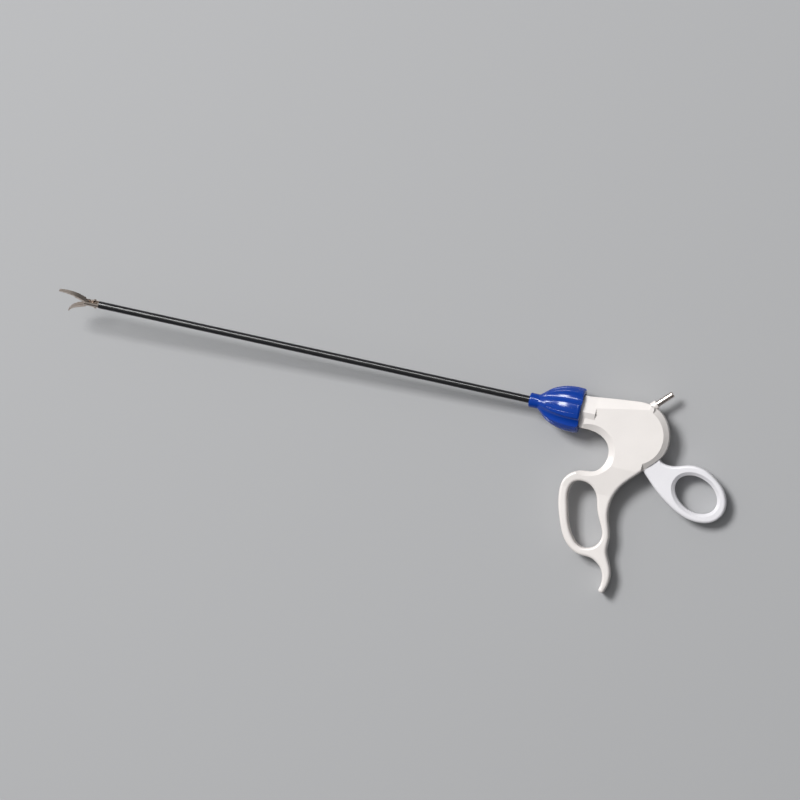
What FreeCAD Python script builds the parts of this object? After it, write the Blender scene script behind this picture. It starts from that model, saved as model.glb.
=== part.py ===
"""Endoscopic grasping forceps: ring handle, rotating fluted knob, 5 mm insulated shaft and curved jaws.

Everything is drawn in the instrument's own axes, in millimetres: the origin is on the shaft's axis at the
nose of the knob, +X runs back along the shaft to the handle, +Y is away from the finger loop, and +Z is
the left side of the handle, which faces up when the instrument lies on a table. The last step lays all
the pieces down together, as they rest on the knob, the finger loop and the thumb ring.
"""
import FreeCAD
import Part
import math
import os
from FreeCAD import Vector as V

# Shaft
SHAFT_DIA = 5.0            # outside of the insulation, to pass a 5 mm port
SLEEVE_WALL = 0.35
TUBE_WALL = 0.30
SLEEVE_REAR = 5.0          # the sleeve ends inside the knob's nose
ROD_DIA = 1.6

# Jaws and their yoke
PIVOT_X = -312.0           # jaw pivot
YOKE_BARE = 7.8            # bare yoke, from the pivot back to the sleeve
SLEEVE_FRONT = PIVOT_X + YOKE_BARE
YOKE_DIA = 4.8
YOKE_SPIGOT = 6.0          # length of yoke inside the tube
CHEEK_GAP = 2.6            # free width between the two cheeks
PIVOT_PIN_DIA = 1.2
DRIVE_PIN_DIA = 0.8
JAW_LENGTH = 21.5          # along the curve, from pivot to tip
JAW_STRAIGHT = 9.0         # straight stretch before the curve starts
JAW_CURVE = 41.0           # degrees the jaw bends through
JAW_WIDTH_BASE = 3.3
JAW_WIDTH_TIP = 1.5
JAW_DEPTH_BASE = 2.05
JAW_DEPTH_TIP = 0.75
JAW_OPEN = 32.0            # each jaw's opening angle as it lies, degrees
JAW_FACE_GAP = 0.06        # each face stands this far off the middle when shut
TAIL_THICK = 0.8
TAIL_GAP = 0.35            # from the middle plane to each tail
TAIL_RADIUS = 1.75         # rounding of the knuckle round the pivot
JAW_HEEL = 2.9             # where the full-width jaw starts, ahead of the yoke
JAW_DEPTH_MID = 1.75
CAM_MARGIN = 0.35          # metal left round the cam slot
CAM_CLEAR = 0.03
TONGUE_THICK = 0.6
TONGUE_REAR = SLEEVE_FRONT + 1.2
SLOT_REAR = SLEEVE_FRONT + 0.8
ROD_BORE = 1.02            # bore of the yoke's spigot
TOOTH_PITCH = 0.95
TOOTH_DEPTH = 0.28
OPENING_PLANE = 57.0       # the jaws open in a plane turned this far from the handle's, degrees

# Thumb lever and its linkage
LEVER_PIVOT = V(82.0, -8.0, 0)
LEVER_SWING = 26.0         # degrees, from open as it lies to shut
LEVER_PIN_DIA = 4.0
OUTSIDE = LEVER_PIVOT + V(48, -52, 0)      # well outside the housing, below the lever
LEVER_HUB_RADIUS = 4.6
LEVER_HALF = 6.0           # half the lever's thickness
BALL_DIA = 3.6
FORK_WALL = 1.7
FORK_HALF = 3.4            # half the fork's thickness
FORK_TOP = 2.6             # how far the fork reaches past the shaft's axis
DRIVE_SHUT = 6.30          # drive pin to jaw pivot with the jaws shut

# Knob
KNOB_LENGTH = 36.5
KNOB_NOSE_RADIUS = 5.0
KNOB_NOSE_LENGTH = 6.3
KNOB_RADIUS = 15.7
KNOB_WIDEST_X = 30.0
KNOB_CORE = 17.0           # the bell is solid in front of this
KNOB_LOBES = 6
KNOB_PHASE = -3.0          # degrees from +Z of the lobe that faces up
KNOB_BELL = [(8.3, 0.42), (13, 0.68), (18, 0.845), (24, 0.955), (30, 0.998), (34.3, 0.99)]
                           # the lobes' crests: x, and share of the knob's radius
KNOB_NOSE_ROUND = 0.8
KNOB_RIM = 1.2             # rounding of the bell's rear rim
KNOB_WALL = 3.0
FLUTE_RADIUS = 6.5
FLUTE_FLOOR = [V(6.9, 5.1, 0), V(18.0, 11.9, 0), V(36.5, 13.9, 0)]
RIB_LINE = [V(12.0, 10.0, 0), V(20.0, 14.15, 0), V(33.0, 15.8, 0)]
RIB_OFFSET = 1.8           # grooves that split each lobe into three ribs
RIB_GROOVE = 0.45

# Hub that turns in the neck
HUB_FRONT = 9.0
HUB_RADIUS = 4.0
HUB_REAR = 52.0
HUB_FLANGE_RADIUS = 6.2
HUB_FLANGE_X = 24.8
TUBE_REAR = 47.0
HUB_FLANGE_THICK = 2.0
RING_X = 48.0
RING_THICK = 1.2
RING_WALL = 1.6
RING_SEAT = 0.6            # depth of the ring's groove
RING_MOUTH = 3.0
SEAL_RADIUS = 3.0
SEAL_LENGTH = 3.0

# Housing
BODY_HALF = 9.5            # half the body's thickness
LOOP_HALF = 6.6            # half the finger loop's thickness
SPIGOT_RADIUS = 10.2       # round front of the neck, inside the knob
NECK_FRONT = 27.0
NECK_REAR = 46.5
PIN_COVER = 2.5            # plastic left over each end of the pivot pin

# Connector
PLUG_DIA = 4.0
PLUG_ROOT = V(84.2, 14.4, 0)
PLUG_EXPOSED = 14.3
PLUG_ROUND = 0.8
PLUG_EMBEDDED = 9.0
PLUG_ANGLE = 45.0
BUSH_DIA = 6.4
BUSH_LENGTH = 6.0
BUSH_PROUD = 1.6
LEAF_THICK = 0.5
LEAF_WIDTH = 3.0
LEAF_REAR = 81.0
LEAF_FLAT = 6.5            # flat run under the plug pin
LEAF_SLOPE = 3.0           # run of the slope down to the rod
LEAF_FOOT = 3.0            # run that rubs on the rod
LEAF_ROOM = 0.5            # free room round the leaf
PLUG_SHANK_DIA = 3.2       # thinner root of the plug pin, inside the bush and the housing

# Fits
RUN = 0.04                 # radial clearance of a running fit
SLIDE = 0.25               # room beside a moving blade
AIR = 0.6                  # free room round a swinging piece

X_AXIS = V(1, 0, 0)
Z_AXIS = V(0, 0, 1)
ORIGIN = V(0, 0, 0)
FAR = 400.0                # a block of this half size reaches past every piece of the handle
SPARE = 20.0               # how far a cutter stands out past what it cuts

TUBE_OUT = SHAFT_DIA / 2 - SLEEVE_WALL
TUBE_IN = TUBE_OUT - TUBE_WALL
LINK_HEIGHT = -LEVER_PIVOT.y
ROD_TRAVEL = 2 * LINK_HEIGHT * math.tan(math.radians(LEVER_SWING / 2))
BALL_X = LEVER_PIVOT.x - ROD_TRAVEL / 2
DRIVE_OPEN = DRIVE_SHUT - ROD_TRAVEL


def rod(radius, x0, x1, bore=0.0):
    """A round bar or tube on the shaft's axis."""
    bar = Part.makeCylinder(radius, x1 - x0, V(x0, 0, 0), X_AXIS)
    if bore:
        bar = bar.cut(Part.makeCylinder(bore, x1 - x0 + 2, V(x0 - 1, 0, 0), X_AXIS))
    return bar


def cross_pin(radius, centre, length):
    """A pin across the handle, along Z, centred on the middle plane."""
    return Part.makeCylinder(radius, length, centre - Z_AXIS * (length / 2), Z_AXIS)


def box(x0, x1, y0, y1, z0, z1):
    return Part.makeBox(x1 - x0, y1 - y0, z1 - z0, V(x0, y0, z0))


def spline(points):
    curve = Part.BSplineCurve()
    curve.interpolate([V(x, y, 0) for x, y in points])
    return curve.toShape()


def closed_spline(points):
    curve = Part.BSplineCurve()
    curve.interpolate([V(x, y, 0) for x, y in points], PeriodicFlag=True)
    return curve.toShape()


def slab(edges, half):
    """A flat plate of both sides' thickness from a closed outline."""
    face = Part.Face(Part.Wire(edges))
    face.translate(V(0, 0, -half))
    return face.extrude(V(0, 0, 2 * half))


# The housing's outline, seen from its left side. Its corners are at the neck, where the thumb lever
# comes out, and at the tail.
TOP_AND_BACK = [(40, 10.9), (50, 12.1), (60, 13.3), (70, 14.3), (79, 14.5), (86, 12.4), (91.2, 8.8),
                (95.4, 3), (98, -4), (98.5, -9.5), (97.5, -15.2), (94.8, -20.4)]
GRIP_BACK = [(94.8, -20.4), (90.4, -25.2), (85.6, -30.3), (79, -37), (73.5, -43.3), (69.8, -50.5),
             (68.2, -59), (69, -66.5), (71.4, -74), (72.8, -81), (72.9, -88.5), (75.8, -95.5),
             (78.6, -102.5), (78.9, -109), (77.4, -115)]
TAIL_TIP = (75.3, -117.1)
LOOP_FRONT = [(73.3, -115), (74.2, -109), (73, -103.2), (68.8, -98), (62.5, -95.2), (56, -94.9),
              (49.5, -92.4), (43.5, -86.7), (38.7, -77.5), (35, -66.5), (33.2, -56.5), (34.3, -47.5),
              (39.5, -41.3), (46.5, -38.9), (53, -38), (58.3, -33.3), (60.6, -26), (58.8, -18.4),
              (53.5, -13.5), (46, -11.2), (40, -10.9)]
FINGER_HOLE = [(49, -46), (55, -48.7), (58.7, -54), (60.8, -61.5), (65, -71), (67.9, -79),
               (66.4, -84.8), (61, -89), (54.5, -89.3), (48, -83.8), (43.3, -74.5), (40.2, -63),
               (39, -54), (41.7, -47.7)]
GRIP_TAPER_TOP = -32.0     # the sides slope in below this height
GRIP_TAPER_FOOT = -52.0    # and are as thin as the loop from here down

# The neck has six sides, with a ridge along the middle of each broad side
KNOB_GAP = 0.4             # running gap between the knob's rim and the neck
NECK_HEX_FRONT = KNOB_LENGTH + KNOB_GAP
NECK_HALF = 11.0
NECK_SIDE = 6.2
NECK_RIDGE = 11.3
TOP_FACET = [V(46.5, 4.2, BODY_HALF), V(80, 10.4, BODY_HALF), V(46.5, 11.0, NECK_SIDE)]

# Round bevels, each part of a cone across the handle: its centre, its radius at the outline, how far it
# reaches in from the outline, and how deep it goes
THROAT_CENTRE = V(46.6, -25.6, 0)
THROAT_RADIUS = 14.0
THROAT_BEVEL = 4.6
THROAT_DEPTH = 3.4
BACK_CENTRE = V(75.4, -8.5, 0)
BACK_RADIUS = 23.3
BACK_BEVEL = 3.7
BACK_DEPTH = 3.2
BACK_BEVEL_X = 84.5        # the bevel of the back starts behind this

# The thumb lever's outline from the slot round the ring and back
LEVER_RING = [(94.8, -20.6), (97.4, -22.3), (101, -23.1), (106, -22.8), (113, -20.6), (120, -19.7),
              (127, -21), (134, -24.9), (140, -30), (144, -36.5), (145.2, -43), (143, -50),
              (137.5, -54.6), (130, -56.3), (122, -55.7), (114, -52.8), (106, -48.1), (97, -41.4),
              (90.5, -35.3), (85.6, -30.3)]
RING_CENTRE = V(123.8, -38.4, 0)
RING_LONG = 15.7           # half axes of the thumb hole
RING_SHORT = 11.45
RING_TILT = -24.0
RING_BEVEL = 2.2
RIM_ROUND = 1.8            # rounding of the rims of the handle and the lever


def outline_plate(height):
    """Half the handle's thickness, from the parting plane up, with the finger hole."""
    tail = Part.Arc(V(*GRIP_BACK[-1], 0), V(*TAIL_TIP, 0), V(*LOOP_FRONT[0], 0)).toShape()
    neck = Part.makeLine(V(*LOOP_FRONT[-1], 0), V(*TOP_AND_BACK[0], 0))
    wire = Part.Wire([spline(TOP_AND_BACK), spline(GRIP_BACK), tail, spline(LOOP_FRONT), neck])
    plate = Part.Face(wire).extrude(V(0, 0, height))
    hole = Part.Face(Part.Wire([closed_spline(FINGER_HOLE)]))
    hole.translate(V(0, 0, -1))
    return plate.cut(hole.extrude(V(0, 0, height + 2)))


def prism(points, x0, x1):
    """A prism along X from (y, z) points."""
    wire = Part.makePolygon([V(x0, y, z) for y, z in points + points[:1]])
    return Part.Face(wire).extrude(V(x1 - x0, 0, 0))


def plate_from(points, z0, z1):
    """A prism along Z from (x, y) points."""
    wire = Part.makePolygon([V(x, y, z0) for x, y in points + points[:1]])
    return Part.Face(wire).extrude(V(0, 0, z1 - z0))


def beyond_plane(a, b, c, size=120.0):
    """A block that lies on the plane through three points, on the side away from the handle's middle."""
    normal = (b - a).cross(c - a)
    normal.normalize()
    if normal.z < 0:
        normal = -normal
    block = Part.makeBox(size, size, size, V(-size / 2, -size / 2, 0))
    block.Placement = FreeCAD.Placement(a, FreeCAD.Rotation(Z_AXIS, normal))
    return block


def flip(shape):
    """The same shape on the other side of the parting plane."""
    return shape.mirror(ORIGIN, Z_AXIS)


def swing(x, y, degrees):
    """A point of the lever after it has turned about its pivot."""
    angle = math.radians(degrees)
    dx = x - LEVER_PIVOT.x
    dy = y - LEVER_PIVOT.y
    return (LEVER_PIVOT.x + dx * math.cos(angle) - dy * math.sin(angle),
            LEVER_PIVOT.y + dx * math.sin(angle) + dy * math.cos(angle))


def housing_form():
    """The outside of the left half, solid down to the parting plane."""
    plate = outline_plate(BODY_HALF)
    below = TAIL_TIP[1] - SPARE
    above = BODY_HALF + SPARE
    plate = plate.cut(prism([(GRIP_TAPER_TOP, BODY_HALF), (GRIP_TAPER_FOOT, LOOP_HALF), (below, LOOP_HALF),
                             (below, above), (GRIP_TAPER_TOP, above)], SPARE, LEVER_RING[0][0] + SPARE))
    rim = []
    for edge in plate.Edges:
        span = edge.BoundBox
        crease = span.YLength < 0.01
        if span.ZMin > 1.0 and span.XMax > 40.001 and not crease:
            rim.append(edge)
    plate = plate.makeFillet(RIM_ROUND, rim)
    plate = plate.cut(beyond_plane(*TOP_FACET).common(box(40, 82, 0, 40, 0, 40)))
    plate = plate.cut([throat_cutter(), back_cutter()])
    neck = prism([(-NECK_HALF, 0), (-NECK_HALF, NECK_SIDE), (0, NECK_RIDGE), (NECK_HALF, NECK_SIDE),
                  (NECK_HALF, 0)], NECK_HEX_FRONT, NECK_REAR)
    spigot = rod(SPIGOT_RADIUS, NECK_FRONT, NECK_REAR)
    spigot = spigot.common(box(0, 60, -30, 30, 0, 30))
    return plate.fuse([neck, spigot]).removeSplitter()


def throat_cutter():
    """A cone that bevels the throat above the finger loop."""
    grow = THROAT_BEVEL / THROAT_DEPTH
    rise = BODY_HALF
    return Part.makeCone(THROAT_RADIUS, THROAT_RADIUS + grow * rise, rise,
                         THROAT_CENTRE + V(0, 0, BODY_HALF - THROAT_DEPTH), Z_AXIS)


def back_cutter():
    """All that lies outside a cone round the back of the body."""
    base = BODY_HALF - BACK_DEPTH
    block = box(BACK_BEVEL_X, BACK_CENTRE.x + 2 * BACK_RADIUS, BACK_CENTRE.y - BACK_RADIUS,
                BACK_CENTRE.y + BACK_RADIUS, base, BODY_HALF + 1)
    shrink = BACK_BEVEL / BACK_DEPTH
    rise = BODY_HALF + 2 - base
    cone = Part.makeCone(BACK_RADIUS, BACK_RADIUS - shrink * rise, rise, BACK_CENTRE + V(0, 0, base), Z_AXIS)
    return block.cut(cone)


def lever_room():
    """The hollow that the lever, its fork and the ball move in."""
    half = LEVER_HALF + SLIDE
    past = LEVER_SWING + 1.5
    left_top = (LEVER_PIVOT.x - LEVER_HUB_RADIUS - AIR, LEVER_PIVOT.y)
    stem = LEVER_RING[-1]
    heel = LEVER_RING[-3]
    shoulder = LEVER_RING[0]
    points = [left_top, swing(stem[0] - AIR, stem[1], -past), swing(heel[0], heel[1] - AIR - 1, -past),
              (OUTSIDE.x, OUTSIDE.y), (OUTSIDE.x, shoulder[1] + AIR), (shoulder[0] + 4, shoulder[1] + 2),
              (shoulder[0], shoulder[1] + AIR), (LEVER_PIVOT.x + LEVER_HUB_RADIUS + AIR, LEVER_PIVOT.y)]
    slot = plate_from(points, -half, half)
    hub = cross_pin(LEVER_HUB_RADIUS + AIR, LEVER_PIVOT, 2 * half)
    reach = LINK_HEIGHT * math.tan(math.radians(LEVER_SWING / 2)) + BALL_DIA / 2 + FORK_WALL + 1.6
    fork = box(LEVER_PIVOT.x - reach, LEVER_PIVOT.x + reach, LEVER_PIVOT.y, FORK_TOP + AIR + 0.4,
               -FORK_HALF - AIR, FORK_HALF + AIR)
    return [slot, hub, fork]


def connector_axis():
    """The direction that the plug pin points out in."""
    angle = math.radians(PLUG_ANGLE)
    return V(math.cos(angle), math.sin(angle), 0)


def plug_foot():
    """The lowest point of the plug pin's inner end, where the contact leaf touches it."""
    angle = math.radians(PLUG_ANGLE)
    down = V(math.sin(angle), -math.cos(angle), 0)
    return PLUG_ROOT - connector_axis() * PLUG_EMBEDDED + down * (PLUG_SHANK_DIA / 2)


def along_plug(radius, start, end):
    """A round bar on the plug's axis, measured from where it leaves the housing."""
    axis = connector_axis()
    return Part.makeCylinder(radius, end - start, PLUG_ROOT + axis * start, axis)


def housing_cuts():
    """Everything that is hollow inside the two halves."""
    cuts = lever_room()
    cuts.append(rod(HUB_RADIUS + RUN, NECK_FRONT - 1, NECK_REAR + 2))
    cuts.append(rod(HUB_RADIUS + RING_WALL + AIR, RING_X - 0.15, RING_X + RING_THICK + 0.15))
    cuts.append(rod(HUB_RADIUS + AIR, RING_X, HUB_REAR + 1))
    cuts.append(rod(ROD_DIA / 2 + AIR, HUB_REAR, LEVER_PIVOT.x))
    cuts.append(along_plug(PLUG_SHANK_DIA / 2, -PLUG_EMBEDDED, BUSH_PROUD))
    cuts.append(along_plug(BUSH_DIA / 2, -BUSH_LENGTH + BUSH_PROUD, BUSH_PROUD + 2))
    leaf_front = LEAF_REAR - LEAF_FLAT - LEAF_SLOPE - LEAF_FOOT
    cuts.append(box(leaf_front - LEAF_ROOM, LEAF_REAR + LEAF_ROOM, 0, plug_foot().y + LEAF_ROOM,
                    -LEAF_WIDTH / 2 - LEAF_ROOM, LEAF_WIDTH / 2 + LEAF_ROOM))
    cuts.append(cross_pin(LEVER_PIN_DIA / 2, LEVER_PIVOT, 2 * (BODY_HALF - PIN_COVER)))
    return cuts


def make_housings():
    left = housing_form()
    right = flip(left)
    cuts = housing_cuts()
    lower = box(-FAR, FAR, -FAR, FAR, -FAR, 0)
    upper = box(-FAR, FAR, -FAR, FAR, 0, FAR)
    return left.cut([cut.common(upper) for cut in cuts]), right.cut([cut.common(lower) for cut in cuts])


def make_lever():
    """The thumb lever: ring, stem, hub and fork in one moulding."""
    hub_left = (LEVER_PIVOT.x - LEVER_HUB_RADIUS, LEVER_PIVOT.y)
    hub_right = (LEVER_PIVOT.x + LEVER_HUB_RADIUS, LEVER_PIVOT.y)
    edges = [spline(LEVER_RING),
             Part.makeLine(V(*LEVER_RING[-1], 0), V(*hub_left, 0)),
             Part.Arc(V(*hub_left, 0), LEVER_PIVOT + V(0, LEVER_HUB_RADIUS, 0), V(*hub_right, 0)).toShape(),
             Part.makeLine(V(*hub_right, 0), V(*LEVER_RING[0], 0))]
    body = slab(edges, LEVER_HALF)
    rims = [e for e in body.Edges if e.BoundBox.ZLength < 1e-6 and e.BoundBox.XMax > LEVER_RING[0][0] + 1]
    body = body.makeFillet(RIM_ROUND, rims)
    body = body.cut(ring_hole())
    fork = make_fork()
    body = body.fuse(fork).removeSplitter()
    body = body.cut(cross_pin(LEVER_PIN_DIA / 2 + RUN, LEVER_PIVOT, 40))
    return body


def ring_hole():
    """The thumb hole with its wide bevel on both sides."""
    def oval(grow):
        curve = Part.Ellipse(ORIGIN, RING_LONG + grow, RING_SHORT + grow)
        wire = Part.Wire([curve.toShape()])
        wire.rotate(ORIGIN, Z_AXIS, RING_TILT)
        wire.translate(RING_CENTRE)
        return wire
    straight = Part.Face(oval(0)).extrude(V(0, 0, 40))
    straight.translate(V(0, 0, -20))
    inner = oval(0)
    outer = oval(RING_BEVEL)
    inner.translate(V(0, 0, LEVER_HALF - RING_BEVEL))
    outer.translate(V(0, 0, LEVER_HALF))
    flare = Part.makeLoft([inner, outer], True, True)
    return straight.fuse([flare, flip(flare)])


def make_fork():
    """Two prongs above the pivot that hold the ball on the rod."""
    top = LINK_HEIGHT + FORK_TOP
    wide = BALL_DIA / 2 + RUN + FORK_WALL
    gap = BALL_DIA / 2 + RUN
    block = box(-wide, wide, 0, top, -FORK_HALF, FORK_HALF)
    block = block.cut([box(-gap, gap, LINK_HEIGHT - BALL_DIA / 2 - 0.4, top + 1, -20, 20),
                       box(-wide - 1, 0, LINK_HEIGHT - BALL_DIA / 2 - 0.4, top + 1, -1.1, 1.1)])
    block.rotate(ORIGIN, Z_AXIS, LEVER_SWING / 2)
    block.translate(LEVER_PIVOT)
    return block


def make_leaf():
    """The contact leaf, from under the plug pin down to the rod."""
    foot = ROD_DIA / 2 + RUN
    top = plug_foot().y
    bend = LEAF_REAR - LEAF_FLAT
    heel = bend - LEAF_SLOPE
    front = heel - LEAF_FOOT
    path = [(LEAF_REAR, top), (bend, top), (heel, foot + LEAF_THICK), (front, foot + LEAF_THICK)]
    lean = LEAF_THICK * 0.6
    under = [(front, foot), (heel + lean, foot), (bend + lean, top - LEAF_THICK), (LEAF_REAR, top - LEAF_THICK)]
    return plate_from(path + under, -LEAF_WIDTH / 2, LEAF_WIDTH / 2)


def knob_bell():
    """The crest line of the lobes, from the nose to the rear rim, as (x, radius) points."""
    return [(KNOB_NOSE_LENGTH, KNOB_NOSE_RADIUS)] + [(x, share * KNOB_RADIUS) for x, share in KNOB_BELL]


def rounded_corner(start, end, corner):
    """An arc from start to end that swells towards the sharp corner between them."""
    chord = (start + end) * 0.5
    return Part.Arc(start, chord + (corner - chord) * (math.sqrt(2) - 1), end).toShape()


def make_knob():
    """Bell knob: turned nose, six flutes, and three ribs on each lobe between them."""
    bell = knob_bell()
    last = V(*bell[-1], 0)
    heel = V(KNOB_LENGTH, last.y - KNOB_RIM, 0)
    nose = V(0, KNOB_NOSE_RADIUS - KNOB_NOSE_ROUND, 0)
    cheek = V(KNOB_NOSE_ROUND, KNOB_NOSE_RADIUS, 0)
    edges = [Part.makeLine(ORIGIN, nose), rounded_corner(nose, cheek, V(0, KNOB_NOSE_RADIUS, 0)),
             Part.makeLine(cheek, V(KNOB_NOSE_LENGTH, KNOB_NOSE_RADIUS, 0)), spline(bell),
             rounded_corner(last, heel, V(heel.x, last.y, 0)), Part.makeLine(heel, V(KNOB_LENGTH, 0, 0)),
             Part.makeLine(V(KNOB_LENGTH, 0, 0), ORIGIN)]
    solid = Part.Face(Part.Wire(edges)).revolve(ORIGIN, X_AXIS, 360)
    mouth = FLUTE_FLOOR[-1].y - KNOB_WALL / 2
    inside = [(KNOB_CORE, HUB_RADIUS), (KNOB_CORE, 0.6 * mouth), (24, mouth - 1), (28, mouth),
              (KNOB_LENGTH + 1, mouth), (KNOB_LENGTH + 1, HUB_RADIUS)]
    wire = Part.makePolygon([V(x, r, 0) for x, r in inside + inside[:1]])
    hollow = Part.Face(wire).revolve(ORIGIN, X_AXIS, 360)
    cuts = [hollow, rod(SHAFT_DIA / 2, -1, HUB_FRONT + 1), rod(HUB_RADIUS, HUB_FRONT, KNOB_LENGTH + 1)]
    return solid.cut(cuts).cut(knob_grooves())


def knob_grooves():
    """One flute between each two lobes, and two fine grooves along each lobe."""
    flute = swept_groove(FLUTE_FLOOR, FLUTE_RADIUS)
    rib = swept_groove(RIB_LINE, RIB_GROOVE, RIB_GROOVE)
    cuts = []
    step = 360.0 / KNOB_LOBES
    for index in range(KNOB_LOBES):
        lobe = KNOB_PHASE + index * step
        cuts.append(turned(flute, lobe + step / 2))
        for side in (-1, 1):
            angle = math.degrees(math.asin(side * RIB_OFFSET / KNOB_RADIUS))
            cuts.append(turned(rib, lobe + angle))
    return cuts


def swept_groove(floor, radius, sunk=0.0):
    """A round cutter that follows an arc along the knob, whose lowest line is the arc, or sunk below it."""
    circle = Part.Arc(*floor).toShape().Curve
    grow = (circle.Radius + radius - sunk) / circle.Radius
    path = Part.Arc(*[circle.Center + (point - circle.Center) * grow for point in floor])
    start = path.value(path.FirstParameter)
    tangent = path.tangent(path.FirstParameter)[0]
    section = Part.Wire([Part.makeCircle(radius, start, tangent)])
    return Part.Wire([path.toShape()]).makePipeShell([section], True, False)


def turned(shape, degrees):
    """Turn a cutter made in the XY plane to its place round the knob, counted from +Z towards +Y."""
    copy = shape.copy()
    copy.rotate(ORIGIN, X_AXIS, 90 - degrees)
    return copy


def make_yoke():
    """Forked end of the tube: two cheeks that carry the jaws' pivot pin."""
    radius = YOKE_DIA / 2
    front = PIVOT_X - radius
    head = rod(radius, front, SLEEVE_FRONT)
    round_end = Part.makeCylinder(radius, YOKE_DIA, V(PIVOT_X, 0, -radius), Z_AXIS)
    head = head.cut(box(front - 1, PIVOT_X, -5, 5, -5, 5).cut(round_end))
    spigot = rod(TUBE_IN, SLEEVE_FRONT, SLEEVE_FRONT + YOKE_SPIGOT)
    body = head.fuse(spigot)
    body = body.cut([box(front - 1, SLOT_REAR, -5, 5, -CHEEK_GAP / 2, CHEEK_GAP / 2),
                     rod(ROD_BORE, front - 1, SLEEVE_FRONT + YOKE_SPIGOT + 1),
                     Part.makeCylinder(PIVOT_PIN_DIA / 2, 20, V(PIVOT_X, 0, -10), Z_AXIS)])
    return body.removeSplitter()


def jaw_profile():
    """The upper jaw from the side, shut, with its pivot at the origin and its tip towards -X."""
    bend = math.radians(JAW_CURVE)
    arc_length = JAW_LENGTH - JAW_STRAIGHT
    radius = arc_length / bend
    centre = V(-JAW_STRAIGHT, -radius, 0)

    def at(run, rise):
        """The point at a distance along the shut jaws' middle line, and a height off it."""
        if run <= JAW_STRAIGHT:
            return V(-run, rise, 0)
        angle = (run - JAW_STRAIGHT) / radius
        return centre + V(-math.sin(angle), math.cos(angle), 0) * (radius + rise)
    return at


def jaw_depth(run):
    share = (run - JAW_STRAIGHT) / (JAW_LENGTH - JAW_STRAIGHT)
    return JAW_DEPTH_MID + (JAW_DEPTH_TIP - JAW_DEPTH_MID) * share


def make_jaw(side):
    """One jaw, shut. side is 1 for the upper and -1 for the lower."""
    at = jaw_profile()
    face = side * JAW_FACE_GAP
    heel = JAW_HEEL
    mid = (JAW_STRAIGHT + JAW_LENGTH) / 2
    tip = JAW_LENGTH
    edges = [Part.makeLine(at(heel, face), at(JAW_STRAIGHT, face)),
             Part.Arc(at(JAW_STRAIGHT, face), at(mid, face), at(tip, face)).toShape(),
             Part.Arc(at(tip, face), at(tip + JAW_DEPTH_TIP * 0.45, face + side * JAW_DEPTH_TIP * 0.5),
                      at(tip, side * JAW_DEPTH_TIP)).toShape(),
             Part.Arc(at(tip, side * JAW_DEPTH_TIP), at(mid, side * jaw_depth(mid)),
                      at(JAW_STRAIGHT, side * JAW_DEPTH_MID)).toShape(),
             Part.makeLine(at(JAW_STRAIGHT, side * JAW_DEPTH_MID), at(heel, side * JAW_DEPTH_BASE)),
             Part.makeLine(at(heel, side * JAW_DEPTH_BASE), at(heel, face))]
    blade = slab(edges, JAW_WIDTH_BASE / 2)
    reach = JAW_LENGTH + 2
    half_base = JAW_WIDTH_BASE / 2
    half_tip = JAW_WIDTH_TIP / 2
    plan = Part.makePolygon([V(0, -10, half_base), V(-JAW_STRAIGHT, -10, half_base), V(-reach, -10, half_tip),
                             V(-reach, -10, -half_tip), V(-JAW_STRAIGHT, -10, -half_base),
                             V(0, -10, -half_base), V(0, -10, half_base)])
    blade = blade.common(Part.Face(plan).extrude(V(0, 20, 0)))
    teeth = []
    run = heel + 1.4
    while run < JAW_LENGTH - 0.5:
        teeth.append(tooth_gap(at, run, side))
        run += TOOTH_PITCH
    blade = blade.cut(teeth)
    shape = blade.fuse(jaw_tail(side))
    cam = cam_slot(side)
    hole = Part.makeCylinder(PIVOT_PIN_DIA / 2 + 0.02, 20, V(0, 0, -10), Z_AXIS)
    return shape.cut([cam, hole]).removeSplitter()


def tooth_gap(at, run, side):
    """A V groove across the gripping face."""
    half = TOOTH_PITCH * 0.36
    low = at(run - half, -side * 0.2)
    high = at(run + half, -side * 0.2)
    root = at(run, side * (JAW_FACE_GAP + TOOTH_DEPTH))
    wire = Part.makePolygon([low, high, root, low])
    groove = Part.Face(wire)
    groove.translate(V(0, 0, -5))
    return groove.extrude(V(0, 0, 10))


def jaw_tail(side):
    """The flat tail beside the rod's tongue, with the knuckle round the pivot."""
    z0 = TAIL_GAP
    z1 = TAIL_GAP + TAIL_THICK
    if side < 0:
        z0, z1 = -z1, -z0
    knuckle = Part.makeCylinder(TAIL_RADIUS, z1 - z0, V(0, 0, z0), Z_AXIS)
    link = plate_from([(-JAW_HEEL - 0.4, side * JAW_FACE_GAP), (0, side * JAW_FACE_GAP), (0, side * TAIL_RADIUS),
                       (-JAW_HEEL - 0.4, side * JAW_DEPTH_BASE)], z0, z1)
    spots = [(x, y) for x, y in cam_points(side)]
    pieces = [link]
    around = DRIVE_PIN_DIA / 2 + CAM_MARGIN
    last = None
    for x, y in [(0, 0)] + spots:
        pieces.append(Part.makeCylinder(around, z1 - z0, V(x, y, z0), Z_AXIS))
        if last:
            pieces.append(strip(last, (x, y), around, z0, z1))
        last = (x, y)
    shut = (DRIVE_SHUT, 0)
    pieces.append(strip((0, 0), shut, around * 0.8, z0, z1))
    return knuckle.fuse(pieces).removeSplitter()


def strip(a, b, half, z0, z1):
    """A flat bar between two points."""
    dx = b[0] - a[0]
    dy = b[1] - a[1]
    length = math.hypot(dx, dy)
    nx = -dy / length * half
    ny = dx / length * half
    return plate_from([(a[0] + nx, a[1] + ny), (b[0] + nx, b[1] + ny), (b[0] - nx, b[1] - ny),
                       (a[0] - nx, a[1] - ny)], z0, z1)


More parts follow.
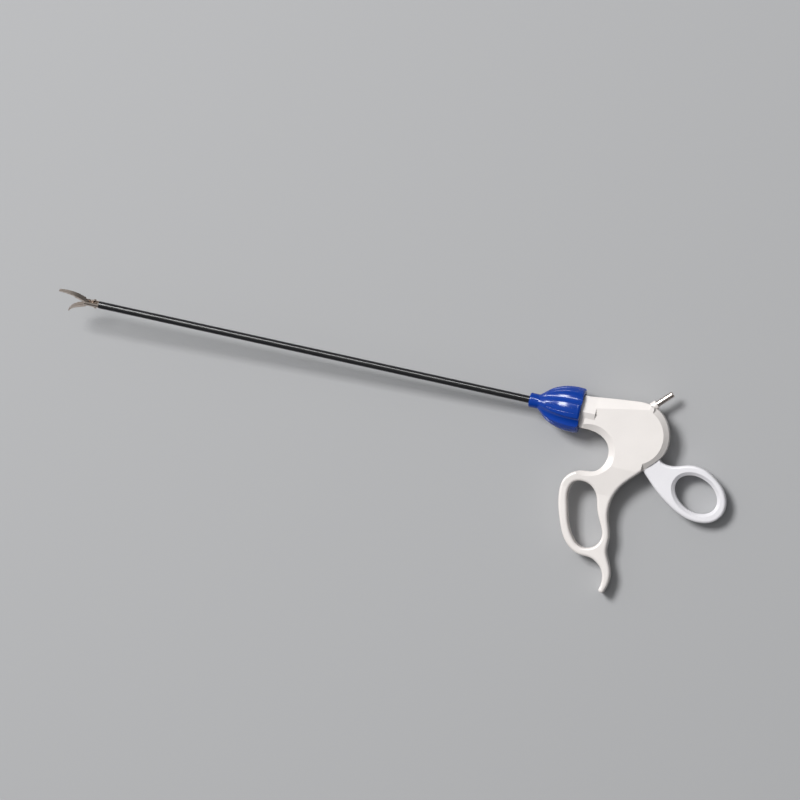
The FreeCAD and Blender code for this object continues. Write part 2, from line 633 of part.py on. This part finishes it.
def cam_points(side, steps=6):
    """Where the drive pin stands in the jaw's own frame as the rod is pulled, at an even turning rate."""
    points = []
    for index in range(steps + 1):
        share = index / steps
        reach = DRIVE_OPEN + ROD_TRAVEL * share
        angle = math.radians(JAW_OPEN * (1 - share))
        points.append((reach * math.cos(angle), side * reach * math.sin(angle)))
    return points


def cam_slot(side):
    half = DRIVE_PIN_DIA / 2 + CAM_CLEAR
    points = cam_points(side)
    pieces = [Part.makeCylinder(half, 10, V(x, y, -5), Z_AXIS) for x, y in points]
    for a, b in zip(points, points[1:]):
        pieces.append(strip(a, b, half, -5, 5))
    return pieces[0].fuse(pieces[1:])


def make_tongue():
    """Flat front end of the rod, between the two tails, with the drive pin's eye."""
    eye = DRIVE_PIN_DIA / 2 + 0.45
    flat = box(PIVOT_X + DRIVE_OPEN, TONGUE_REAR, -eye, eye, -TONGUE_THICK / 2, TONGUE_THICK / 2)
    round_end = Part.makeCylinder(eye, TONGUE_THICK, V(PIVOT_X + DRIVE_OPEN, 0, -TONGUE_THICK / 2), Z_AXIS)
    ferrule = rod(ROD_DIA / 2 + 0.15, TONGUE_REAR, TONGUE_REAR + 4, ROD_DIA / 2)
    hole = Part.makeCylinder(DRIVE_PIN_DIA / 2, 4, V(PIVOT_X + DRIVE_OPEN, 0, -2), Z_AXIS)
    return flat.fuse([round_end, ferrule]).cut(hole)


def make_hub():
    """Bush that carries the tube, turned to run in the neck, with a groove for its ring."""
    body = rod(HUB_RADIUS, HUB_FRONT, HUB_REAR)
    body = body.fuse(rod(HUB_FLANGE_RADIUS, HUB_FLANGE_X, HUB_FLANGE_X + HUB_FLANGE_THICK))
    groove = rod(HUB_RADIUS + 1, RING_X, RING_X + RING_THICK, HUB_RADIUS - RING_SEAT)
    return body.cut([rod(TUBE_OUT, HUB_FRONT - 1, TUBE_REAR), rod(TUBE_IN, TUBE_REAR - 1, HUB_REAR),
                     rod(SEAL_RADIUS, HUB_REAR - SEAL_LENGTH, HUB_REAR + 1), groove]).removeSplitter()


def make_ring():
    """Open retaining ring in the hub's groove."""
    ring = rod(HUB_RADIUS + RING_WALL, RING_X, RING_X + RING_THICK, HUB_RADIUS - RING_SEAT)
    return ring.cut(box(RING_X - 1, RING_X + 3, -RING_MOUTH / 2, RING_MOUTH / 2, 0, 10))


def make_ball():
    ball = Part.makeSphere(BALL_DIA / 2, V(BALL_X, 0, 0))
    return ball.cut(rod(ROD_DIA / 2, BALL_X - 5, BALL_X + BALL_DIA / 4))


def make_plug():
    """Plug pin: round, with a rounded end, on a thinner shank that is held in the housing."""
    pin = along_plug(PLUG_DIA / 2, BUSH_PROUD, PLUG_EXPOSED)
    halfway = PLUG_ROOT.y + PLUG_EXPOSED / 2
    tip = [e for e in pin.Edges if isinstance(e.Curve, Part.Circle) and e.BoundBox.YMin > halfway]
    pin = pin.makeFillet(PLUG_ROUND, tip)
    return pin.fuse(along_plug(PLUG_SHANK_DIA / 2, -PLUG_EMBEDDED, BUSH_PROUD + PLUG_ROUND)).removeSplitter()


def make_bush():
    """Small moulded collar round the root of the plug pin."""
    bush = along_plug(BUSH_DIA / 2, -BUSH_LENGTH + BUSH_PROUD, BUSH_PROUD)
    rim = [e for e in bush.Edges if isinstance(e.Curve, Part.Circle) and e.BoundBox.YMax > PLUG_ROOT.y + 2]
    bush = bush.makeFillet(0.6, rim)
    return bush.cut(along_plug(PLUG_SHANK_DIA / 2, -PLUG_EMBEDDED, PLUG_EXPOSED))


def build():
    """Every piece in the instrument's axes, as it lies: jaws open, lever forward."""
    left, right = make_housings()
    parts = {
        "housing_left": left,
        "housing_right": right,
        "lever_pivot_pin": cross_pin(LEVER_PIN_DIA / 2, LEVER_PIVOT, 2 * (BODY_HALF - PIN_COVER)),
        "connector_pin": make_plug(),
        "connector_bush": make_bush(),
        "contact_spring": make_leaf(),
        "thumb_lever": make_lever(),
        "rotation_knob": make_knob(),
        "tube_hub": make_hub(),
        "hub_ring": make_ring(),
        "shaft_tube": rod(TUBE_OUT, SLEEVE_FRONT, TUBE_REAR, TUBE_IN),
        "insulation_sleeve": rod(SHAFT_DIA / 2, SLEEVE_FRONT, SLEEVE_REAR, TUBE_OUT),
        "rod_seal": rod(SEAL_RADIUS, HUB_REAR - SEAL_LENGTH, HUB_REAR, ROD_DIA / 2 + RUN),
        "pull_rod": rod(ROD_DIA / 2, TONGUE_REAR, BALL_X + BALL_DIA / 4),
        "rod_ball": make_ball(),
    }
    end = {
        "jaw_yoke": make_yoke(),
        "jaw_pivot_pin": Part.makeCylinder(PIVOT_PIN_DIA / 2, YOKE_DIA - 0.2,
                                           V(PIVOT_X, 0, -YOKE_DIA / 2 + 0.1), Z_AXIS),
        "rod_tongue": make_tongue(),
        "drive_pin": Part.makeCylinder(DRIVE_PIN_DIA / 2, CHEEK_GAP - 0.2,
                                       V(PIVOT_X + DRIVE_OPEN, 0, -CHEEK_GAP / 2 + 0.1), Z_AXIS),
    }
    for name, side in (("upper_jaw", 1), ("lower_jaw", -1)):
        jaw = make_jaw(side)
        jaw.rotate(ORIGIN, Z_AXIS, -side * JAW_OPEN)
        jaw.translate(V(PIVOT_X, 0, 0))
        end[name] = jaw
    for name, shape in end.items():
        shape.rotate(ORIGIN, X_AXIS, OPENING_PLANE)
        parts[name] = shape
    return parts


def resting_turn():
    """The turn that lays the instrument on the knob, the thumb ring and the finger loop."""
    phase = math.radians(KNOB_PHASE)
    knob = V(KNOB_WIDEST_X, KNOB_RADIUS * math.sin(phase + math.pi), KNOB_RADIUS * math.cos(phase + math.pi))
    ring = [V(x, y, -LEVER_HALF) for x, y in LEVER_RING]
    loop = [V(x, y, -LOOP_HALF) for x, y in LOOP_FRONT + GRIP_BACK if y < GRIP_TAPER_FOOT]
    for a in ring:
        for b in loop:
            normal = (a - knob).cross(b - knob)
            normal.normalize()
            if normal.z < 0:
                normal = -normal
            if min((p - knob).dot(normal) for p in ring + loop) > -1e-6:
                return FreeCAD.Rotation(normal, Z_AXIS)
    raise ValueError("no three points of rest were found")


def main():
    os.makedirs("parts", exist_ok=True)
    turn = resting_turn()
    for name, shape in build().items():
        shape.rotate(ORIGIN, turn.Axis, math.degrees(turn.Angle))
        solids = shape.Solids
        if len(solids) == 1:
            shape = solids[0]
        print(f"{name:20s} solids {len(solids)} valid {shape.isValid()} volume {shape.Volume:.1f}")
        shape.exportStep(f"parts/{name}.step")


main()
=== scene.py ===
"""Looks of the grasping forceps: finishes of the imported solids, the table, the light and the camera."""

import math

import bpy
from mathutils import Matrix, Vector


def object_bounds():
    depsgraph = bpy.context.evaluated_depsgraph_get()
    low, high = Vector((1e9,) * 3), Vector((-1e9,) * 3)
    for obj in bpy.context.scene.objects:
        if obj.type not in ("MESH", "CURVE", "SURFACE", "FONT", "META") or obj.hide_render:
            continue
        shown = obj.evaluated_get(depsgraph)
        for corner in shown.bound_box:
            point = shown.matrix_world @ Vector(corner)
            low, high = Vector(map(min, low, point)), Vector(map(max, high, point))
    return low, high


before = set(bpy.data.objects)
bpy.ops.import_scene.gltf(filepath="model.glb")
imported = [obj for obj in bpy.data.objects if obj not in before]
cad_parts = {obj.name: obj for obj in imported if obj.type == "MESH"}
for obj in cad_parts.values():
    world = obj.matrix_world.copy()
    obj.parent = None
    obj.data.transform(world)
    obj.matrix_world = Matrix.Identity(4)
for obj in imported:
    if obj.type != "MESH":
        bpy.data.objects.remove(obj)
cad_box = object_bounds()

MM = 0.001

# Camera, as the photograph was taken: nearly straight down, from a little beyond the handle
CAMERA_TARGET = Vector((-88.43, -19.16, -6.0)) * MM
CAMERA_DISTANCE = 3023.1 * MM
CAMERA_TILT = 11.11  # degrees off the vertical
CAMERA_BEARING = -5.91  # degrees from +X of the side that it leans to
CAMERA_ROLL = 12.72  # degrees
CAMERA_LENS = 199.36  # for the usual sensor of 36 mm
CAMERA_REACH = 20.0  # metres

# Table, a sheet of matt grey paper much wider than the view, in metres
TABLE_HALF = 3.0
TABLE_GREY = (0.41, 0.412, 0.419)
TABLE_ROUGHNESS = 0.9
TABLE_SHINE = 0.1

# Window lamp, in metres and watts, which gives most of the light and the shadows
LAMP_FROM = Vector((-0.45, 0.30, 1.0))
LAMP_AWAY = 3.6
LAMP_SIZE = (1.15, 1.15)
LAMP_POWER = 120.0

# Strip lamp along the shaft, in metres and watts, which draws lines of light on gloss
STRIP_FROM = Vector((-0.9, 0.55, 1.0))
STRIP_AWAY = 1.2
STRIP_SIZE = (2.6, 0.16)
STRIP_POWER = 34.0

# Surroundings, brightest behind the window lamp and darkest on the half that faces away from it
ROOM_GREY = (0.62, 0.63, 0.64)
ROOM_BRIGHT = 0.72
ROOM_DARK = 0.12
ROOM_FACING = (0.0, 0.95)

# Surface effects: how fine each noise is, in waves a metre
FLOW_MARKS = 38.0
ERODED_GRAIN = 2600.0
RUBBED_SPOTS = 120.0
STAINS = 240.0

# Surface effects: which share of a noise is stretched to its full range
BROAD_SHARE = (0.3, 0.7)
MIDDLE_SHARE = (0.35, 0.65)
UPPER_SHARE = (0.4, 0.75)

# Surface effects: what they do to the colour's tone, to the roughness and to the height
FLECK_TONE = (0.985, 1.01)
LINE_TONE = (0.93, 1.04)
RUBBED_ROUGHNESS = (-0.5, 1.0)
LINE_ROUGHNESS = (-0.06, 0.1)
RELIEF = 0.02 * MM

# How closely the lines of ground or drawn metal lie along X, Y and Z
ALONG_SHAFT = (60.0, 2400.0, 2400.0)
ROUND_PLUG = (1500.0, 1500.0, 200.0)

# Colours of the mouldings and of the metals
WARM_WHITE = (0.82, 0.775, 0.745)
COOL_WHITE = (0.80, 0.785, 0.81)
KNOB_BLUE = (0.0, 0.040, 0.31)
HUB_IVORY = (0.62, 0.61, 0.58)
SLEEVE_BLACK = (0.008, 0.008, 0.009)
SEAL_RED = (0.45, 0.12, 0.08)
TUBE_STEEL = (0.62, 0.62, 0.63)
JAW_STEEL = (0.66, 0.57, 0.50)
PLUG_STEEL = (0.56, 0.50, 0.46)
LEAF_BRASS = (0.70, 0.52, 0.22)


def group_of(name, inputs, outputs):
    """An empty shader group with named sockets, and its two end nodes."""
    tree = bpy.data.node_groups.new(name, "ShaderNodeTree")
    for label, kind, value in inputs:
        socket = tree.interface.new_socket(label, in_out="INPUT", socket_type=kind)
        socket.default_value = value
    for label, kind in outputs:
        tree.interface.new_socket(label, in_out="OUTPUT", socket_type=kind)
    return tree, tree.nodes.new("NodeGroupInput"), tree.nodes.new("NodeGroupOutput")


def noise(tree, vector, scale, detail, rough):
    """The strength of a noise along a vector socket."""
    node = tree.nodes.new("ShaderNodeTexNoise")
    node.inputs["Scale"].default_value = scale
    node.inputs["Detail"].default_value = detail
    node.inputs["Roughness"].default_value = rough
    tree.links.new(vector, node.inputs["Vector"])
    return node.outputs["Fac"]


def feed(tree, socket, value):
    """Give an input its value, either a number or another socket."""
    if isinstance(value, bpy.types.NodeSocket):
        tree.links.new(value, socket)
    else:
        socket.default_value = value


def remap(tree, value, share, result):
    """A value stretched from one range to another, and held inside it."""
    node = tree.nodes.new("ShaderNodeMapRange")
    ends = ("From Min", "From Max", "To Min", "To Max")
    for label, end in zip(ends, (*share, *result)):
        feed(tree, node.inputs[label], end)
    feed(tree, node.inputs["Value"], value)
    return node.outputs["Result"]


def maths(tree, operation, first, second):
    """One sum on two sockets or numbers."""
    node = tree.nodes.new("ShaderNodeMath")
    node.operation = operation
    feed(tree, node.inputs[0], first)
    feed(tree, node.inputs[1], second)
    return node.outputs["Value"]


def shaded(tree, colour, factor):
    """A colour made lighter or darker by a factor socket."""
    node = tree.nodes.new("ShaderNodeVectorMath")
    node.operation = "SCALE"
    tree.links.new(colour, node.inputs[0])
    tree.links.new(factor, node.inputs["Scale"])
    return node.outputs["Vector"]


def moulded_grain_group():
    """Moulded plastic: soft flow marks, a fine spark-eroded grain and a few dull rubbed spots."""
    tree, start, end = group_of(
        "moulded_grain",
        [("Place", "NodeSocketVector", (0.0, 0.0, 0.0)),
         ("Colour", "NodeSocketColor", (0.8, 0.8, 0.8, 1.0)),
         ("Tone", "NodeSocketFloat", 0.03),
         ("Roughness", "NodeSocketFloat", 0.4),
         ("Roughness Spread", "NodeSocketFloat", 0.08)],
        [("Colour", "NodeSocketColor"), ("Roughness", "NodeSocketFloat"), ("Grain", "NodeSocketFloat")])
    place = start.outputs["Place"]
    flow = noise(tree, place, FLOW_MARKS, detail=2.0, rough=0.5)
    speck = noise(tree, place, ERODED_GRAIN, detail=2.0, rough=0.6)
    dull = noise(tree, place, RUBBED_SPOTS, detail=4.0, rough=0.65)
    darkest = maths(tree, "SUBTRACT", 1.0, start.outputs["Tone"])
    palest = maths(tree, "ADD", 1.0, start.outputs["Tone"])
    tone = remap(tree, flow, BROAD_SHARE, (darkest, palest))
    fleck = remap(tree, speck, MIDDLE_SHARE, FLECK_TONE)
    both = maths(tree, "MULTIPLY", tone, fleck)
    tree.links.new(shaded(tree, start.outputs["Colour"], both), end.inputs["Colour"])
    rubbed = remap(tree, dull, UPPER_SHARE, RUBBED_ROUGHNESS)
    lift = maths(tree, "MULTIPLY", rubbed, start.outputs["Roughness Spread"])
    tree.links.new(maths(tree, "ADD", start.outputs["Roughness"], lift), end.inputs["Roughness"])
    tree.links.new(speck, end.inputs["Grain"])
    return tree


def drawn_metal_group():
    """Ground or drawn metal: fine lines along one direction, and slight staining."""
    tree, start, end = group_of(
        "drawn_metal",
        [("Place", "NodeSocketVector", (0.0, 0.0, 0.0)),
         ("Colour", "NodeSocketColor", (0.6, 0.6, 0.6, 1.0)),
         ("Stretch", "NodeSocketVector", ALONG_SHAFT),
         ("Roughness", "NodeSocketFloat", 0.3),
         ("Stain", "NodeSocketFloat", 0.1)],
        [("Colour", "NodeSocketColor"), ("Roughness", "NodeSocketFloat"), ("Lines", "NodeSocketFloat")])
    along = tree.nodes.new("ShaderNodeVectorMath")
    along.operation = "MULTIPLY"
    tree.links.new(start.outputs["Place"], along.inputs[0])
    tree.links.new(start.outputs["Stretch"], along.inputs[1])
    lines = noise(tree, along.outputs["Vector"], 1.0, detail=4.0, rough=0.6)
    patch = noise(tree, start.outputs["Place"], STAINS, detail=3.0, rough=0.6)
    stained = maths(tree, "SUBTRACT", 1.0, start.outputs["Stain"])
    tone = remap(tree, patch, MIDDLE_SHARE, (stained, 1.0))
    streak = remap(tree, lines, BROAD_SHARE, LINE_TONE)
    both = maths(tree, "MULTIPLY", tone, streak)
    tree.links.new(shaded(tree, start.outputs["Colour"], both), end.inputs["Colour"])
    lift = remap(tree, lines, BROAD_SHARE, LINE_ROUGHNESS)
    tree.links.new(maths(tree, "ADD", start.outputs["Roughness"], lift), end.inputs["Roughness"])
    tree.links.new(lines, end.inputs["Lines"])
    return tree


GRAIN = moulded_grain_group()
DRAWN = drawn_metal_group()


def finish_of(name, group, settings, relief, depth, **shader_values):
    """A material whose colour, roughness and relief come from a group, on a plain shader."""
    material = bpy.data.materials.new(name)
    material.use_nodes = True
    tree = material.node_tree
    shader = tree.nodes["Principled BSDF"]
    for label, value in shader_values.items():
        shader.inputs[label.replace("_", " ")].default_value = value
    place = tree.nodes.new("ShaderNodeTexCoord")
    effect = tree.nodes.new("ShaderNodeGroup")
    effect.node_tree = group
    tree.links.new(place.outputs["Object"], effect.inputs["Place"])
    for label, value in settings.items():
        effect.inputs[label].default_value = value
    tree.links.new(effect.outputs["Colour"], shader.inputs["Base Color"])
    tree.links.new(effect.outputs["Roughness"], shader.inputs["Roughness"])
    bump = tree.nodes.new("ShaderNodeBump")
    bump.inputs["Strength"].default_value = depth
    bump.inputs["Distance"].default_value = RELIEF
    tree.links.new(effect.outputs[relief], bump.inputs["Height"])
    tree.links.new(bump.outputs["Normal"], shader.inputs["Normal"])
    return material


def moulded(name, colour, roughness, tone=0.02, spread=0.08, depth=0.6, **shader_values):
    """One of the plastics or the rubber, each of which comes out of a mould."""
    settings = {"Colour": (*colour, 1.0), "Roughness": roughness, "Tone": tone, "Roughness Spread": spread}
    return finish_of(name, GRAIN, settings, "Grain", depth, **shader_values)


def metal(name, colour, roughness, stretch=ALONG_SHAFT, stain=0.08, depth=0.5):
    """One of the metals."""
    settings = {"Colour": (*colour, 1.0), "Roughness": roughness, "Stretch": stretch, "Stain": stain}
    return finish_of(name, DRAWN, settings, "Lines", depth, Metallic=1.0)


def dress(material, *nodes):
    """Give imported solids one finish."""
    for node in nodes:
        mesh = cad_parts[node].data
        mesh.materials.clear()
        mesh.materials.append(material)


def dress_mouldings():
    """The moulded pieces: white handle, cooler white lever, blue knob, black sleeve and those inside."""
    dress(moulded("warm_white_plastic", WARM_WHITE, roughness=0.36, Coat_Weight=0.1, Coat_Roughness=0.2),
          "housing_left", "housing_right", "connector_bush")
    dress(moulded("cool_white_plastic", COOL_WHITE, roughness=0.38, Coat_Weight=0.1, Coat_Roughness=0.25),
          "thumb_lever")
    dress(moulded("blue_knob_plastic", KNOB_BLUE, roughness=0.17, tone=0.05, spread=0.03, depth=0.08,
                  Specular_IOR_Level=0.36),
          "rotation_knob")
    dress(moulded("hub_plastic", HUB_IVORY, roughness=0.45), "tube_hub")
    dress(moulded("black_sleeve", SLEEVE_BLACK, roughness=0.2, tone=0.1, depth=0.1), "insulation_sleeve")
    dress(moulded("seal_rubber", SEAL_RED, roughness=0.6), "rod_seal")


def dress_metals():
    """The metal pieces: pins, tube and rod, the jaws with what they hang on, the plug pin and the leaf."""
    dress(metal("tube_steel", TUBE_STEEL, roughness=0.26),
          "lever_pivot_pin", "hub_ring", "shaft_tube", "pull_rod", "rod_ball")
    dress(metal("jaw_steel", JAW_STEEL, roughness=0.14, stain=0.1, depth=0.15),
          "rod_tongue", "drive_pin", "jaw_yoke", "jaw_pivot_pin", "upper_jaw", "lower_jaw")
    dress(metal("plug_steel", PLUG_STEEL, roughness=0.25, stretch=ROUND_PLUG, stain=0.15),
          "connector_pin")
    dress(metal("spring_brass", LEAF_BRASS, roughness=0.3), "contact_spring")


def lay_table():
    """A wide grey table at the height of the object's lowest point."""
    height = cad_box[0][2]
    corners = [(east * TABLE_HALF, north * TABLE_HALF, height)
               for east, north in ((-1, -1), (1, -1), (1, 1), (-1, 1))]
    mesh = bpy.data.meshes.new("table")
    mesh.from_pydata(corners, [], [(0, 1, 2, 3)])
    table = bpy.data.objects.new("table", mesh)
    bpy.context.scene.collection.objects.link(table)
    material = bpy.data.materials.new("table_paper")
    material.use_nodes = True
    shader = material.node_tree.nodes["Principled BSDF"]
    shader.inputs["Base Color"].default_value = (*TABLE_GREY, 1.0)
    shader.inputs["Roughness"].default_value = TABLE_ROUGHNESS
    shader.inputs["Specular IOR Level"].default_value = TABLE_SHINE
    mesh.materials.append(material)


def turned_to(direction):
    """The turn that points an object's own Z along a direction, with its own X over the table's X."""
    back = direction.normalized()
    side = back.cross(Vector((1.0, 0.0, 0.0))).normalized()
    return Matrix((side.cross(back), side, back)).transposed()


def hang_lamp(name, direction, away, size, power):
    """A soft lamp that shines at the point where the camera looks."""
    light = bpy.data.lights.new(name, "AREA")
    light.shape = "RECTANGLE"
    light.size, light.size_y = size
    light.energy = power
    lamp = bpy.data.objects.new(name, light)
    lamp.location = CAMERA_TARGET + direction.normalized() * away
    lamp.rotation_euler = turned_to(direction).to_euler()
    bpy.context.scene.collection.objects.link(lamp)
    return lamp


def light_room():
    """Grey surroundings, brighter on the window lamp's side."""
    world = bpy.data.worlds.new("room")
    world.use_nodes = True
    tree = world.node_tree
    background = tree.nodes["Background"]
    background.inputs["Color"].default_value = (*ROOM_GREY, 1.0)
    place = tree.nodes.new("ShaderNodeTexCoord")
    facing = tree.nodes.new("ShaderNodeVectorMath")
    facing.operation = "DOT_PRODUCT"
    facing.inputs[1].default_value = LAMP_FROM.normalized()
    tree.links.new(place.outputs["Generated"], facing.inputs[0])
    strength = remap(tree, facing.outputs["Value"], ROOM_FACING, (ROOM_DARK, ROOM_BRIGHT))
    tree.links.new(strength, background.inputs["Strength"])
    bpy.context.scene.world = world


def place_camera():
    """The camera of the photograph."""
    tilt = math.radians(CAMERA_TILT)
    bearing = math.radians(CAMERA_BEARING)
    roll = math.radians(CAMERA_ROLL)
    back = Vector((math.sin(tilt) * math.cos(bearing), math.sin(tilt) * math.sin(bearing), math.cos(tilt)))
    right = Vector((0.0, 1.0, 0.0)).cross(back).normalized()
    up = back.cross(right)
    rolled_right = right * math.cos(roll) + up * math.sin(roll)
    rolled_up = up * math.cos(roll) - right * math.sin(roll)
    lens = bpy.data.cameras.new("camera")
    lens.lens = CAMERA_LENS
    lens.clip_end = CAMERA_REACH
    camera = bpy.data.objects.new("camera", lens)
    camera.matrix_world = Matrix((rolled_right, rolled_up, back)).transposed().to_4x4()
    camera.location = CAMERA_TARGET + back * CAMERA_DISTANCE
    bpy.context.scene.collection.objects.link(camera)
    bpy.context.scene.camera = camera


dress_mouldings()
dress_metals()
lay_table()
hang_lamp("window_lamp", LAMP_FROM, LAMP_AWAY, LAMP_SIZE, LAMP_POWER)
strip = hang_lamp("strip_lamp", STRIP_FROM, STRIP_AWAY, STRIP_SIZE, STRIP_POWER)
strip.visible_diffuse = False  # so that no second shadow falls on the table
light_room()
place_camera()
bpy.context.scene.view_settings.view_transform = "Standard"
